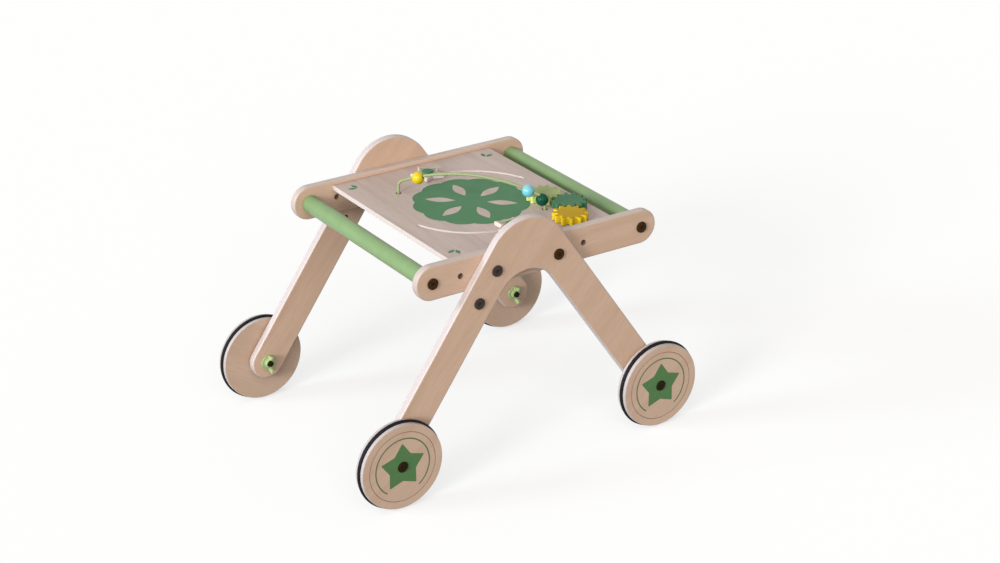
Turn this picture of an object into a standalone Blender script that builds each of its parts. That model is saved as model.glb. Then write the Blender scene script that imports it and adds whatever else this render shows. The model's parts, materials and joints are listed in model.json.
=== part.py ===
"""Baby push walker: two plywood leg frames on four rubber-tyred wheels carry a pair of side rails,
two round cross bars and an activity board with sliders, meshing gears and a bead wire.

Metres, +Z up. The origin is on the floor midway between the wheels. +X is the end that is pushed
(rear), and the left side is -Y."""
import math

import bmesh
import bpy
from mathutils import Matrix, Vector

# Gap kept between pieces that touch, pass through or turn in each other
CLEARANCE = 0.0003

# Wheels and their axles
WHEEL_RADIUS = 0.0625
WHEEL_THICKNESS = 0.018
WHEEL_EDGE = 0.0015
WHEEL_BASE = 0.430
TYRE_CORD = 0.007
TYRE_PROUD = 0.0025
SPACER_RADIUS = 0.011
SPACER_THICKNESS = 0.0027
AXLE_RADIUS = 0.004
AXLE_END_PROUD = 0.002
AXLE_HEAD_RADIUS = 0.008
AXLE_HEAD_HEIGHT = 0.003

# Wing nuts on the inner ends of the axle bolts
NUT_FLANGE_RADIUS = 0.012
NUT_FLANGE_THICKNESS = 0.0025
NUT_HUB_RADIUS = 0.0072
NUT_HUB_HEIGHT = 0.007
WING_SPAN = 0.027
WING_HEIGHT = 0.0138
WING_THICKNESS = 0.0045
WING_TIP_WIDTH = 0.0048
WING_VALLEY = 0.011

# Leg frames
LEG_THICKNESS = 0.012
LEG_WIDTH = 0.050
LEG_EDGE = 0.0018
APEX_RADIUS = 0.0655
FORK_RADIUS = 0.051

# Side rails and cross bars
RAIL_CENTRE_HEIGHT = 0.303
RAIL_WIDTH = 0.050
RAIL_THICKNESS = 0.012
RAIL_EDGE = 0.0018
RAIL_GAP = 0.316
RAIL_OFFSET = 0.027
BAR_SPACING = 0.342
BAR_DIAMETER = 0.025
BAR_EDGE = 0.001
SPARE_HOLE_SPACING = 0.200

# Bolts and sleeve nuts
LEG_BOLT_SPACING = 0.100
LOWER_BOLT_DISTANCE = 0.050
BOLT_RADIUS = 0.003
BOLT_HEAD_RADIUS = 0.008
BOLT_HEAD_HEIGHT = 0.0025
SOCKET_RADIUS = 0.0026
SOCKET_DEPTH = 0.0015
SLEEVE_RADIUS = 0.004
SLEEVE_LENGTH = 0.010
SLEEVE_HEAD_RADIUS = 0.0075
SLEEVE_HEAD_HEIGHT = 0.002
BAR_BOLT_REACH = 0.025

# Activity board
BOARD_LENGTH = 0.266
BOARD_THICKNESS = 0.007
BOARD_RECESS = 0.006
BOARD_EDGE = 0.0008
GROOVE_DEPTH = 0.005

# Curved slots and the sliders that run in them
SLOT_RADIUS = 0.112
SLOT_WIDTH = 0.006
SLOT_START = 17.0
SLOT_SWEEP = 80.0
SLIDER_ANGLES = {"right": 91.0, "left": 266.5}
STAR_TIP_RADIUS = 0.027
STAR_NOTCH_RADIUS = 0.014
STAR_TIP_ROUND = 0.0014
STAR_NOTCH_ROUND = 0.002
STAR_THICKNESS = 0.0065
STAR_EDGE = 0.001
SLIDER_KNOB_RADIUS = 0.008
SLIDER_KNOB_HEIGHT = 0.002

# Gears
GEAR_TEETH = 12
GEAR_PITCH_RADIUS = 0.0225
GEAR_TOOTH_HEIGHT = 0.007
GEAR_MESH_GAP = 0.0006
GEAR_SQUARENESS = 1.2
GEAR_THICKNESS = 0.011
GEAR_STUB_RADIUS = 0.005
GEAR_EDGE_GAP = 0.004
GEAR_RAIL_GAP = 0.0028
MIDDLE_GEAR_PHASE = 8.0
GEAR_DIRECTIONS = {"yellow": -123.6, "light_green": 108.0}

# Push-on caps under the board
CAP_WALL = 0.003
CAP_FLOOR = 0.0015
CAP_GRIP = 0.004

# Bead wire and beads
WIRE_DIAMETER = 0.004
WIRE_SPAN = 0.214
WIRE_RISE = 0.0395
WIRE_ARC_RADIUS = 0.270
WIRE_FRONT_BEND = 0.010
WIRE_REAR_BEND = 0.018
WIRE_DIRECTION = -49.3
WIRE_GEAR_GAP = 0.00123
WIRE_GEAR_DIRECTION = 161.68
BEAD_RADIUS = 0.009
BEAD_BORE_RADIUS = 0.00375
BEAD_YELLOW_BACK = 0.0240
BEAD_BLUE_BACK = 0.01265
BEAD_GREEN_LEAN = 58.0

# Facets round a full turn
WHEEL_SIDES = 32
ROUND_SIDES = 12
BAR_SIDES = 24
TYRE_SIDES = 6
BEAD_SIDES = 14

# Heights, and distances from the centre plane out to each side, that follow from the sizes above
TYRE_RADIUS = WHEEL_RADIUS + TYRE_PROUD
AXLE_X = WHEEL_BASE / 2
AXLE_Z = TYRE_RADIUS
RAIL_INNER = RAIL_GAP / 2
RAIL_OUTER = RAIL_INNER + RAIL_THICKNESS
LEG_INNER = RAIL_OUTER + CLEARANCE
LEG_OUTER = LEG_INNER + LEG_THICKNESS
SPACER_MIDDLE = LEG_OUTER + CLEARANCE + SPACER_THICKNESS / 2
WHEEL_MIDDLE = LEG_OUTER + 2 * CLEARANCE + SPACER_THICKNESS + WHEEL_THICKNESS / 2
WHEEL_OUTER = WHEEL_MIDDLE + WHEEL_THICKNESS / 2
NUT_SEAT = LEG_INNER - CLEARANCE
BOARD_TOP = RAIL_CENTRE_HEIGHT + RAIL_WIDTH / 2 - BOARD_RECESS
BOARD_BOTTOM = BOARD_TOP - BOARD_THICKNESS
BOARD_CENTRE = Vector((RAIL_OFFSET, 0, BOARD_TOP))
GEAR_TIP_RADIUS = GEAR_PITCH_RADIUS + GEAR_TOOTH_HEIGHT / 2 - GEAR_MESH_GAP
SIDES = {"left": -1, "right": 1}
ENDS = {"front": -1, "rear": 1}

# Plain colours of the finished surfaces
PLYWOOD = (0.62, 0.43, 0.31)
BOARD_WOOD = (0.60, 0.48, 0.42)
PALE_GREEN = (0.40, 0.55, 0.26)
DARK_GREEN = (0.03, 0.17, 0.10)
MID_GREEN = (0.10, 0.24, 0.15)
LIGHT_GREEN = (0.55, 0.66, 0.28)
YELLOW = (0.90, 0.62, 0.03)
SKY_BLUE = (0.30, 0.80, 0.90)
WIRE_GREEN = (0.42, 0.52, 0.27)
RUBBER = (0.012, 0.011, 0.012)
BLACK_STEEL = (0.018, 0.013, 0.010)
GREY_STEEL = (0.045, 0.042, 0.042)
NYLON = (0.75, 0.74, 0.70)


def collection(name):
    group = bpy.data.collections.new(name)
    bpy.context.scene.collection.children.link(group)
    return group


for leftover in list(bpy.data.objects):
    bpy.data.objects.remove(leftover)
PARTS = collection("baby_push_walker")
CUTTERS = collection("cutters")


# Outlines, as lists of (x, y) points

def arc(centre, radius, start, end, steps):
    """Points along an arc, with its angles in degrees."""
    angles = [math.radians(start + (end - start) * i / steps) for i in range(steps + 1)]
    return [(centre[0] + radius * math.cos(a), centre[1] + radius * math.sin(a)) for a in angles]


def rounded(corners, radii, steps=2):
    """A polygon with each corner replaced by an arc that is tangent to both of its sides."""
    points = []
    for i, radius in enumerate(radii):
        corner = Vector(corners[i])
        back = (Vector(corners[i - 1]) - corner).normalized()
        ahead = (Vector(corners[(i + 1) % len(corners)]) - corner).normalized()
        half = back.angle(ahead) / 2
        centre = corner + (back + ahead).normalized() * radius / math.sin(half)
        reach = radius / math.tan(half)
        start, end = (math.degrees(math.atan2(v.y, v.x))
                      for v in (corner + side * reach - centre for side in (back, ahead)))
        turn = (end - start + 180) % 360 - 180
        points += arc(centre, radius, start, start + turn, steps)
    return points


def polar(radius, degrees):
    return Vector((radius * math.cos(math.radians(degrees)), radius * math.sin(math.radians(degrees))))


# Meshes and objects

def link(name, mesh, group):
    thing = bpy.data.objects.new(name, mesh)
    group.objects.link(thing)
    return thing


def mesh_of(thing):
    """The evaluated mesh of a working object, welded and with flat areas as single faces."""
    evaluated = thing.evaluated_get(bpy.context.evaluated_depsgraph_get())
    mesh = bpy.data.meshes.new_from_object(evaluated)
    bpy.data.objects.remove(thing)
    shape = bmesh.new()
    shape.from_mesh(mesh)
    bmesh.ops.remove_doubles(shape, verts=shape.verts, dist=1e-6)
    bmesh.ops.dissolve_limit(shape, angle_limit=math.radians(0.5), verts=shape.verts, edges=shape.edges)
    bmesh.ops.recalc_face_normals(shape, faces=shape.faces)
    shape.to_mesh(mesh)
    shape.free()
    mesh.shade_smooth()
    mesh.set_sharp_from_angle(angle=math.radians(32))
    return mesh


def flat_mesh(outline, thickness):
    """A closed outline in local XY, extruded by half its thickness to each side."""
    curve = bpy.data.curves.new("outline", "CURVE")
    curve.dimensions = "2D"
    curve.fill_mode = "BOTH"
    curve.extrude = thickness / 2
    spline = curve.splines.new("POLY")
    spline.points.add(len(outline) - 1)
    for point, (x, y) in zip(spline.points, outline):
        point.co = (x, y, 0, 1)
    spline.use_cyclic_u = True
    return mesh_of(link("outline", curve, PARTS))


def turned_mesh(profile, sides, closed=False):
    """A profile of (radius, height) points, outer side downwards, turned round the local Z axis."""
    mesh = bpy.data.meshes.new("profile")
    edges = [(i, i + 1) for i in range(len(profile) - 1)]
    if closed:
        edges.append((len(profile) - 1, 0))
    mesh.from_pydata([(radius, 0, height) for radius, height in profile], edges, [])
    thing = link("profile", mesh, PARTS)
    screw = thing.modifiers.new("turn", "SCREW")
    screw.steps = sides
    screw.render_steps = sides
    screw.use_merge_vertices = True
    screw.merge_threshold = 1e-6
    return mesh_of(thing)


def part(name, mesh, colour, roughness, metallic=0.0):
    """A named sub-part with its own material."""
    material = bpy.data.materials.new(name)
    material.use_nodes = True
    shader = material.node_tree.nodes["Principled BSDF"]
    shader.inputs["Base Color"].default_value = (*colour, 1)
    shader.inputs["Roughness"].default_value = roughness
    shader.inputs["Metallic"].default_value = metallic
    thing = link(name, mesh, PARTS)
    if not mesh.materials:
        mesh.materials.append(material)
    thing.material_slots[0].link = "OBJECT"
    thing.material_slots[0].material = material
    return thing


def round_edges(thing, width):
    bevel = thing.modifiers.new("edges", "BEVEL")
    bevel.width = width
    bevel.segments = 1
    bevel.limit_method = "ANGLE"
    bevel.angle_limit = math.radians(60)


def combine(thing, tool, operation="DIFFERENCE"):
    boolean = thing.modifiers.new(operation.lower(), "BOOLEAN")
    boolean.operation = operation
    boolean.object = tool


def cutter(name, mesh):
    tool = link(name, mesh, CUTTERS)
    tool.hide_render = True
    tool.display_type = "WIRE"
    return tool


def outwards(side):
    """The turn that points a local +Z out from the walker on one side."""
    return Matrix.Rotation(-side * math.pi / 2, 4, "X")


def inwards(side):
    return outwards(-side)


def upright(side):
    """The turn that stands an outline up, with its y axis pointing up on both sides."""
    return Matrix.Rotation(math.pi / 2, 4, "X")


def on_both_sides(name, mesh, place, distance, look, turn=outwards):
    """A piece on each side at an (x, z) place, a distance out from the centre plane."""
    pieces = []
    for side_name, side in SIDES.items():
        piece = part(name + "_" + side_name, mesh, *look)
        piece.location = (place[0], side * distance, place[1])
        piece.rotation_euler = turn(side).to_euler()
        pieces.append(piece)
    return pieces


def through_bores(name, places, radius):
    """Round bores right across the walker at (x, z) places."""
    width = 2 * (WHEEL_OUTER + AXLE_HEAD_HEIGHT)
    shape = bmesh.new()
    for x, z in places:
        matrix = Matrix.Translation((x, 0, z)) @ outwards(1)
        bmesh.ops.create_cone(shape, cap_ends=True, segments=ROUND_SIDES, radius1=radius, radius2=radius,
                              depth=width, matrix=matrix)
    mesh = bpy.data.meshes.new(name)
    shape.to_mesh(mesh)
    shape.free()
    return cutter(name, mesh)


# Places across the walker, as (x, z)

def leg_normal():
    """Angle in degrees of the outward normal of the rear leg's outer edge, tangent to the round apex."""
    drop = Vector((AXLE_X, AXLE_Z - RAIL_CENTRE_HEIGHT))
    offset = APEX_RADIUS - LEG_WIDTH / 2
    return math.degrees(math.atan2(drop.y, drop.x) + math.acos(offset / drop.length))


AXLES = {end: (sign * AXLE_X, AXLE_Z) for end, sign in ENDS.items()}
LEG_BOLTS = {end: (sign * LEG_BOLT_SPACING / 2, RAIL_CENTRE_HEIGHT) for end, sign in ENDS.items()}
LOWER_BOLT = Vector(LEG_BOLTS["front"]) + polar(LOWER_BOLT_DISTANCE, 270 - leg_normal())
SPARE_HOLES = [(sign * SPARE_HOLE_SPACING / 2, RAIL_CENTRE_HEIGHT) for sign in ENDS.values()]
BARS = {end: (RAIL_OFFSET + sign * BAR_SPACING / 2, RAIL_CENTRE_HEIGHT) for end, sign in ENDS.items()}

axle_bores = through_bores("axle_bores", AXLES.values(), AXLE_RADIUS + CLEARANCE)
leg_bolt_bores = through_bores("leg_bolt_bores", [*LEG_BOLTS.values(), LOWER_BOLT], BOLT_RADIUS + CLEARANCE)
sleeve_bores = through_bores("sleeve_bores", [*LEG_BOLTS.values(), *SPARE_HOLES], SLEEVE_RADIUS + CLEARANCE)
bar_bolt_bores = through_bores("bar_bolt_bores", BARS.values(), BOLT_RADIUS + CLEARANCE)


# Frame

def leg_frames():
    normal = leg_normal()
    half = LEG_WIDTH / 2
    apex = (0, RAIL_CENTRE_HEIGHT)
    fork_drop = (LEG_WIDTH + FORK_RADIUS - APEX_RADIUS) / math.sin(math.radians(normal))
    outline = arc(AXLES["rear"], half, normal - 180, normal, 14)
    outline += arc(apex, APEX_RADIUS, normal, 180 - normal, 14)
    outline += arc(AXLES["front"], half, 180 - normal, 360 - normal, 14)
    outline += arc((0, RAIL_CENTRE_HEIGHT - fork_drop), FORK_RADIUS, 180 - normal, normal, 12)
    mesh = flat_mesh(outline, LEG_THICKNESS)
    middle = LEG_INNER + LEG_THICKNESS / 2
    for frame in on_both_sides("leg_frame", mesh, (0, 0), middle, (PLYWOOD, 0.55), upright):
        round_edges(frame, LEG_EDGE)
        combine(frame, axle_bores)
        combine(frame, leg_bolt_bores)


def side_rails(groove):
    outline = arc((BAR_SPACING / 2, 0), RAIL_WIDTH / 2, -90, 90, 14)
    outline += arc((-BAR_SPACING / 2, 0), RAIL_WIDTH / 2, 90, 270, 14)
    mesh = flat_mesh(outline, RAIL_THICKNESS)
    place = (RAIL_OFFSET, RAIL_CENTRE_HEIGHT)
    middle = RAIL_INNER + RAIL_THICKNESS / 2
    for rail in on_both_sides("side_rail", mesh, place, middle, (PLYWOOD, 0.55), upright):
        round_edges(rail, RAIL_EDGE)
        combine(rail, sleeve_bores)
        combine(rail, bar_bolt_bores)
        combine(rail, groove)


def cross_bars():
    radius = BAR_DIAMETER / 2
    end = RAIL_INNER - CLEARANCE
    bore = BOLT_RADIUS + CLEARANCE
    bore_end = RAIL_INNER - BAR_BOLT_REACH - CLEARANCE
    half = [(0, bore_end), (bore, bore_end), (bore, end), (radius - BAR_EDGE, end), (radius, end - BAR_EDGE)]
    mesh = turned_mesh(half + [(r, -z) for r, z in reversed(half)], BAR_SIDES)
    for name, (x, z) in BARS.items():
        bar = part("cross_bar_" + name, mesh, PALE_GREEN, 0.45)
        bar.location = (x, 0, z)
        bar.rotation_euler.x = math.pi / 2


# Wheels, axles and wing nuts

def wheels():
    half = WHEEL_THICKNESS / 2
    groove = TYRE_CORD / 2 + CLEARANCE
    groove_radius = TYRE_RADIUS - TYRE_CORD - CLEARANCE
    bore = AXLE_RADIUS + CLEARANCE
    upper = [(bore, half), (WHEEL_RADIUS - WHEEL_EDGE, half), (WHEEL_RADIUS, half - WHEEL_EDGE),
             (WHEEL_RADIUS, groove), (groove_radius, groove)]
    disc = turned_mesh(upper + [(r, -z) for r, z in reversed(upper)], WHEEL_SIDES, closed=True)
    cord = arc((TYRE_RADIUS - TYRE_CORD / 2, 0), TYRE_CORD / 2, 0, -360, TYRE_SIDES)[:-1]
    ring = turned_mesh(cord, WHEEL_SIDES, closed=True)
    for end, axle in AXLES.items():
        on_both_sides("wheel_" + end, disc, axle, WHEEL_MIDDLE, (PLYWOOD, 0.55))
        on_both_sides("tyre_" + end, ring, axle, WHEEL_MIDDLE, (RUBBER, 0.6))


def axle_bolts():
    seat = WHEEL_OUTER + CLEARANCE
    length = seat - (NUT_SEAT - NUT_HUB_HEIGHT - AXLE_END_PROUD)
    dome = [(AXLE_HEAD_RADIUS * math.sin(math.radians(a)), AXLE_HEAD_HEIGHT * math.cos(math.radians(a)))
            for a in (0, 30, 55, 75)]
    profile = dome + [(AXLE_HEAD_RADIUS, 0), (AXLE_RADIUS, 0), (AXLE_RADIUS, -length), (0, -length)]
    bolt = turned_mesh(profile, ROUND_SIDES)
    for end, axle in AXLES.items():
        on_both_sides("axle_bolt_" + end, bolt, axle, seat, (BLACK_STEEL, 0.4, 0.6))


def wheel_spacers():
    half = SPACER_THICKNESS / 2
    bore = AXLE_RADIUS + CLEARANCE
    ring = turned_mesh([(bore, half), (SPACER_RADIUS, half), (SPACER_RADIUS, -half), (bore, -half)],
                       ROUND_SIDES, closed=True)
    for end, axle in AXLES.items():
        on_both_sides("wheel_spacer_" + end, ring, axle, SPACER_MIDDLE, (NYLON, 0.4))


def wing_nuts():
    hub_edge = NUT_FLANGE_THICKNESS / 3
    hub = turned_mesh([(0, NUT_HUB_HEIGHT), (NUT_HUB_RADIUS - hub_edge, NUT_HUB_HEIGHT),
                       (NUT_HUB_RADIUS, NUT_HUB_HEIGHT - hub_edge), (NUT_HUB_RADIUS, NUT_FLANGE_THICKNESS),
                       (NUT_FLANGE_RADIUS - hub_edge, NUT_FLANGE_THICKNESS),
                       (NUT_FLANGE_RADIUS, NUT_FLANGE_THICKNESS - hub_edge), (NUT_FLANGE_RADIUS, 0), (0, 0)],
                      ROUND_SIDES)
    tip = WING_SPAN / 2
    corners = [(NUT_FLANGE_RADIUS - hub_edge, hub_edge), (tip, WING_HEIGHT * 0.7), (tip, WING_HEIGHT),
               (tip - WING_TIP_WIDTH, WING_HEIGHT), (WING_VALLEY / 2, NUT_HUB_HEIGHT - hub_edge)]
    corners += [(-x, y) for x, y in reversed(corners)]
    soft = WING_TIP_WIDTH * 0.4
    radii = [soft / 2, soft * 2, soft, soft, soft / 2]
    wings = flat_mesh(rounded(corners, radii + radii[::-1]), WING_THICKNESS)
    wings.transform(Matrix.Rotation(math.pi / 2, 4, "Z") @ Matrix.Rotation(math.pi / 2, 4, "X"))
    for end, axle in AXLES.items():
        for nut in on_both_sides("wing_nut_" + end, hub, axle, NUT_SEAT, (PALE_GREEN, 0.4), inwards):
            blades = cutter(nut.name + "_wings", wings)
            blades.parent = nut
            round_edges(blades, WING_THICKNESS / 5)
            combine(nut, blades, "UNION")
            combine(nut, axle_bores)


# Fasteners

def bolt_mesh(length):
    """A flat-headed bolt with a socket, its head seated at local zero."""
    edge = BOLT_HEAD_HEIGHT / 3
    socket = BOLT_HEAD_HEIGHT - SOCKET_DEPTH
    head = [(0, socket), (SOCKET_RADIUS, socket), (SOCKET_RADIUS, BOLT_HEAD_HEIGHT),
            (BOLT_HEAD_RADIUS - edge, BOLT_HEAD_HEIGHT), (BOLT_HEAD_RADIUS, BOLT_HEAD_HEIGHT - edge)]
    shank = [(BOLT_HEAD_RADIUS, 0), (BOLT_RADIUS, 0), (BOLT_RADIUS, -length), (0, -length)]
    return turned_mesh(head + shank, ROUND_SIDES)


def leg_bolts():
    head_seat = LEG_OUTER + CLEARANCE
    nut_seat = RAIL_INNER - CLEARANCE
    sleeve_floor = SLEEVE_HEAD_HEIGHT / 2
    long_bolt = bolt_mesh(head_seat - nut_seat - sleeve_floor - CLEARANCE)
    on_both_sides("leg_bolt_front", long_bolt, LEG_BOLTS["front"], head_seat, (GREY_STEEL, 0.45, 0.6))
    on_both_sides("leg_bolt_rear", long_bolt, LEG_BOLTS["rear"], head_seat, (BLACK_STEEL, 0.45, 0.6))
    short_bolt = bolt_mesh(head_seat - LEG_INNER)
    on_both_sides("leg_bolt_lower", short_bolt, LOWER_BOLT, head_seat, (GREY_STEEL, 0.45, 0.6))

    bore = BOLT_RADIUS + CLEARANCE
    edge = SLEEVE_HEAD_HEIGHT / 3
    nut = turned_mesh([(0, SLEEVE_HEAD_HEIGHT), (SLEEVE_HEAD_RADIUS - edge, SLEEVE_HEAD_HEIGHT),
                       (SLEEVE_HEAD_RADIUS, SLEEVE_HEAD_HEIGHT - edge), (SLEEVE_HEAD_RADIUS, 0),
                       (SLEEVE_RADIUS, 0), (SLEEVE_RADIUS, -SLEEVE_LENGTH), (bore, -SLEEVE_LENGTH),
                       (bore, sleeve_floor), (0, sleeve_floor)], ROUND_SIDES)
    for end, place in LEG_BOLTS.items():
        on_both_sides("leg_nut_" + end, nut, place, nut_seat, (BLACK_STEEL, 0.45, 0.6), inwards)


def bar_bolts():
    seat = RAIL_OUTER + CLEARANCE
    bolt = bolt_mesh(seat - RAIL_INNER + BAR_BOLT_REACH)
    for end, place in BARS.items():
        on_both_sides("bar_bolt_" + end, bolt, place, seat, (BLACK_STEEL, 0.45, 0.6))


# Activity board and what is on it

def slot_outline(start):
    half = SLOT_WIDTH / 2
    end = start + SLOT_SWEEP
    outline = arc((0, 0), SLOT_RADIUS + half, start, end, 20)
    outline += arc(polar(SLOT_RADIUS, end), half, end, end + 180, 6)[1:-1]
    outline += arc((0, 0), SLOT_RADIUS - half, end, start, 20)
    return outline + arc(polar(SLOT_RADIUS, start), half, start + 180, start + 360, 6)[1:-1]


def board_cutter(name, outline):
    """A cutter right through the board, with its outline in the board's plane about the board's centre."""
    tool = cutter(name, flat_mesh(outline, 3 * BOARD_THICKNESS))
    tool.location = BOARD_CENTRE
    return tool


def circle(centre, radius):
    return arc(centre, radius, 0, 360, ROUND_SIDES)[:-1]


def rectangle(length, width):
    return [(x * length / 2, y * width / 2) for x, y in ((1, 1), (-1, 1), (-1, -1), (1, -1))]


def activity_board():
    """The board, and the cutter for the grooves in the rails that hold its long edges."""
    width = RAIL_GAP + 2 * GROOVE_DEPTH
    middle = BOARD_CENTRE - Vector((0, 0, BOARD_THICKNESS / 2))
    panel = flat_mesh(rectangle(BOARD_LENGTH, width), BOARD_THICKNESS)
    board = part("activity_board", panel, BOARD_WOOD, 0.5)
    board.location = middle
    round_edges(board, BOARD_EDGE)
    for start in (SLOT_START, SLOT_START + 180):
        combine(board, board_cutter("slot", slot_outline(start)))
    for foot in WIRE_FEET.values():
        combine(board, board_cutter("wire_hole", circle(foot, WIRE_DIAMETER / 2 + CLEARANCE)))
    for centre in GEAR_CENTRES.values():
        combine(board, board_cutter("gear_hole", circle(centre, GEAR_STUB_RADIUS + CLEARANCE)))

    room = 2 * CLEARANCE
    loose_panel = flat_mesh(rectangle(BOARD_LENGTH + room, width + room), BOARD_THICKNESS + room)
    groove = cutter("board_grooves", loose_panel)
    groove.location = middle
    return groove


def cap_mesh(shank_radius):
    """A push-on cap, open at the top, for a shank that comes down through the board."""
    bore = shank_radius + CLEARANCE
    outer = bore + CAP_WALL
    floor = -CAP_GRIP - CLEARANCE
    return turned_mesh([(0, floor), (bore, floor), (bore, 0), (outer, 0), (outer, floor - CAP_FLOOR),
                        (0, floor - CAP_FLOOR)], ROUND_SIDES)


CAP_TOP = BOARD_BOTTOM - CLEARANCE
SHANK_END = CAP_TOP - CAP_GRIP


def star_outline():
    corners = [polar(STAR_NOTCH_RADIUS if i % 2 else STAR_TIP_RADIUS, 36 * i) for i in range(10)]
    return rounded(corners, [STAR_TIP_ROUND, STAR_NOTCH_ROUND] * 5)


def sliders():
    """Star sliders: each turns about the board's centre, along its own slot."""
    stem = SLOT_WIDTH / 2 - CLEARANCE
    star_bottom = BOARD_TOP + CLEARANCE
    knob_bottom = star_bottom + STAR_THICKNESS + CLEARANCE
    star_mesh = flat_mesh(star_outline(), STAR_THICKNESS)
    edge = SLIDER_KNOB_HEIGHT / 4
    foot = SHANK_END - knob_bottom
    knob_mesh = turned_mesh([(0, SLIDER_KNOB_HEIGHT), (SLIDER_KNOB_RADIUS - 2 * edge, SLIDER_KNOB_HEIGHT),
                             (SLIDER_KNOB_RADIUS, SLIDER_KNOB_HEIGHT - edge), (SLIDER_KNOB_RADIUS, edge / 2),
                             (SLIDER_KNOB_RADIUS - edge / 2, 0), (stem, 0), (stem, foot), (0, foot)],
                            ROUND_SIDES)
    stem_hole = flat_mesh(circle((0, 0), stem + CLEARANCE), 2 * STAR_THICKNESS)
    for name, degrees in SLIDER_ANGLES.items():
        axis = link("slider_axis_" + name, None, PARTS)
        axis.location = BOARD_CENTRE
        axis.rotation_euler.z = math.radians(degrees)
        star = part("slider_star_" + name, star_mesh, PLYWOOD, 0.5)
        knob = part("slider_knob_" + name, knob_mesh, DARK_GREEN, 0.3)
        cap = part("slider_cap_" + name, cap_mesh(stem), NYLON, 0.4)
        hole = cutter("stem_hole_" + name, stem_hole)
        heights = {star: star_bottom + STAR_THICKNESS / 2, hole: star_bottom + STAR_THICKNESS / 2,
                   knob: knob_bottom, cap: CAP_TOP}
        for thing, height in heights.items():
            thing.parent = axis
            thing.location = (SLOT_RADIUS, 0, height - BOARD_TOP)
        round_edges(star, STAR_EDGE)
        combine(star, hole)


def gear_centres():
    """Centres in the board's plane: the middle gear by the board's end, the yellow one by the left rail."""
    outer = {name: polar(2 * GEAR_PITCH_RADIUS, degrees) for name, degrees in GEAR_DIRECTIONS.items()}
    left_edge = GEAR_TIP_RADIUS + GEAR_RAIL_GAP - RAIL_INNER
    middle = Vector((BOARD_LENGTH / 2 - GEAR_TIP_RADIUS - GEAR_EDGE_GAP, left_edge - outer["yellow"].y))
    return {"dark_green": middle, **{name: middle + offset for name, offset in outer.items()}}


def gear_outline():
    """Rounded teeth as one wave round the pitch circle."""
    points = []
    steps = GEAR_TEETH * 10
    for i in range(steps):
        turn = 2 * math.pi * i / steps
        wave = math.tanh(GEAR_SQUARENESS * math.cos(GEAR_TEETH * turn)) / math.tanh(GEAR_SQUARENESS)
        radius = GEAR_PITCH_RADIUS - GEAR_MESH_GAP + wave * GEAR_TOOTH_HEIGHT / 2
        points.append((radius * math.cos(turn), radius * math.sin(turn)))
    return points


def gears():
    """Three meshing gears: the outer two take the phase that meshes with the dark green one between them."""
    half_pitch = 180 / GEAR_TEETH
    phases = {name: 2 * degrees + half_pitch - MIDDLE_GEAR_PHASE for name, degrees in GEAR_DIRECTIONS.items()}
    colours = {"yellow": YELLOW, "dark_green": MID_GREEN, "light_green": LIGHT_GREEN}
    bottom = BOARD_TOP + CLEARANCE
    teeth = flat_mesh(gear_outline(), GEAR_THICKNESS)
    stub_length = bottom - SHANK_END + GEAR_THICKNESS / 2
    stub_mesh = flat_mesh(circle((0, 0), GEAR_STUB_RADIUS), stub_length)
    for name, centre in GEAR_CENTRES.items():
        gear = part("gear_" + name, teeth, colours[name], 0.35)
        gear.location = (*(BOARD_CENTRE.xy + centre), bottom + GEAR_THICKNESS / 2)
        gear.rotation_euler.z = math.radians(phases.get(name, MIDDLE_GEAR_PHASE))
        stub = cutter("gear_stub_" + name, stub_mesh)
        stub.parent = gear
        stub.location.z = -stub_length / 2
        combine(gear, stub, "UNION")
        cap = part("gear_cap_" + name, cap_mesh(GEAR_STUB_RADIUS), NYLON, 0.4)
        cap.location = (*gear.location.xy, CAP_TOP)


def wire_middle():
    """Middle of the bead wire in the board's plane: its rear foot keeps a bead clear of the middle gear."""
    distance = GEAR_TIP_RADIUS + BEAD_RADIUS + WIRE_GEAR_GAP
    rear_foot = GEAR_CENTRES["dark_green"] + polar(distance, WIRE_GEAR_DIRECTION)
    return rear_foot - polar(WIRE_SPAN / 2, WIRE_DIRECTION)


def wire_path():
    """The bead wire as (along, up) points from its middle: rear foot, bend, low arc, bend, front foot."""
    rear = wire_half(WIRE_REAR_BEND)
    front = wire_half(WIRE_FRONT_BEND)
    return rear + [(-x, y) for x, y in reversed(front[:-1])]


def wire_half(bend_radius):
    """Half of the bead wire, from a foot up to the middle of the low arc."""
    arc_centre, bend_centre, lean = wire_centres(bend_radius)
    foot = SHANK_END - BOARD_TOP
    bend = arc(bend_centre, bend_radius, 0, 90 - lean, 6)
    return [(WIRE_SPAN / 2, foot)] + bend + arc(arc_centre, WIRE_ARC_RADIUS, 90 - lean, 90, 9)[1:]


def wire_centres(bend_radius):
    """Centres of the low arc and of the bend that joins it to a foot, and the arc's lean where they meet."""
    arc_centre = Vector((0, WIRE_RISE - WIRE_ARC_RADIUS))
    bend_x = WIRE_SPAN / 2 - bend_radius
    reach = WIRE_ARC_RADIUS - bend_radius
    bend_centre = Vector((bend_x, arc_centre.y + math.sqrt(reach ** 2 - bend_x ** 2)))
    return arc_centre, bend_centre, math.degrees(math.asin(bend_x / reach))


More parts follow.
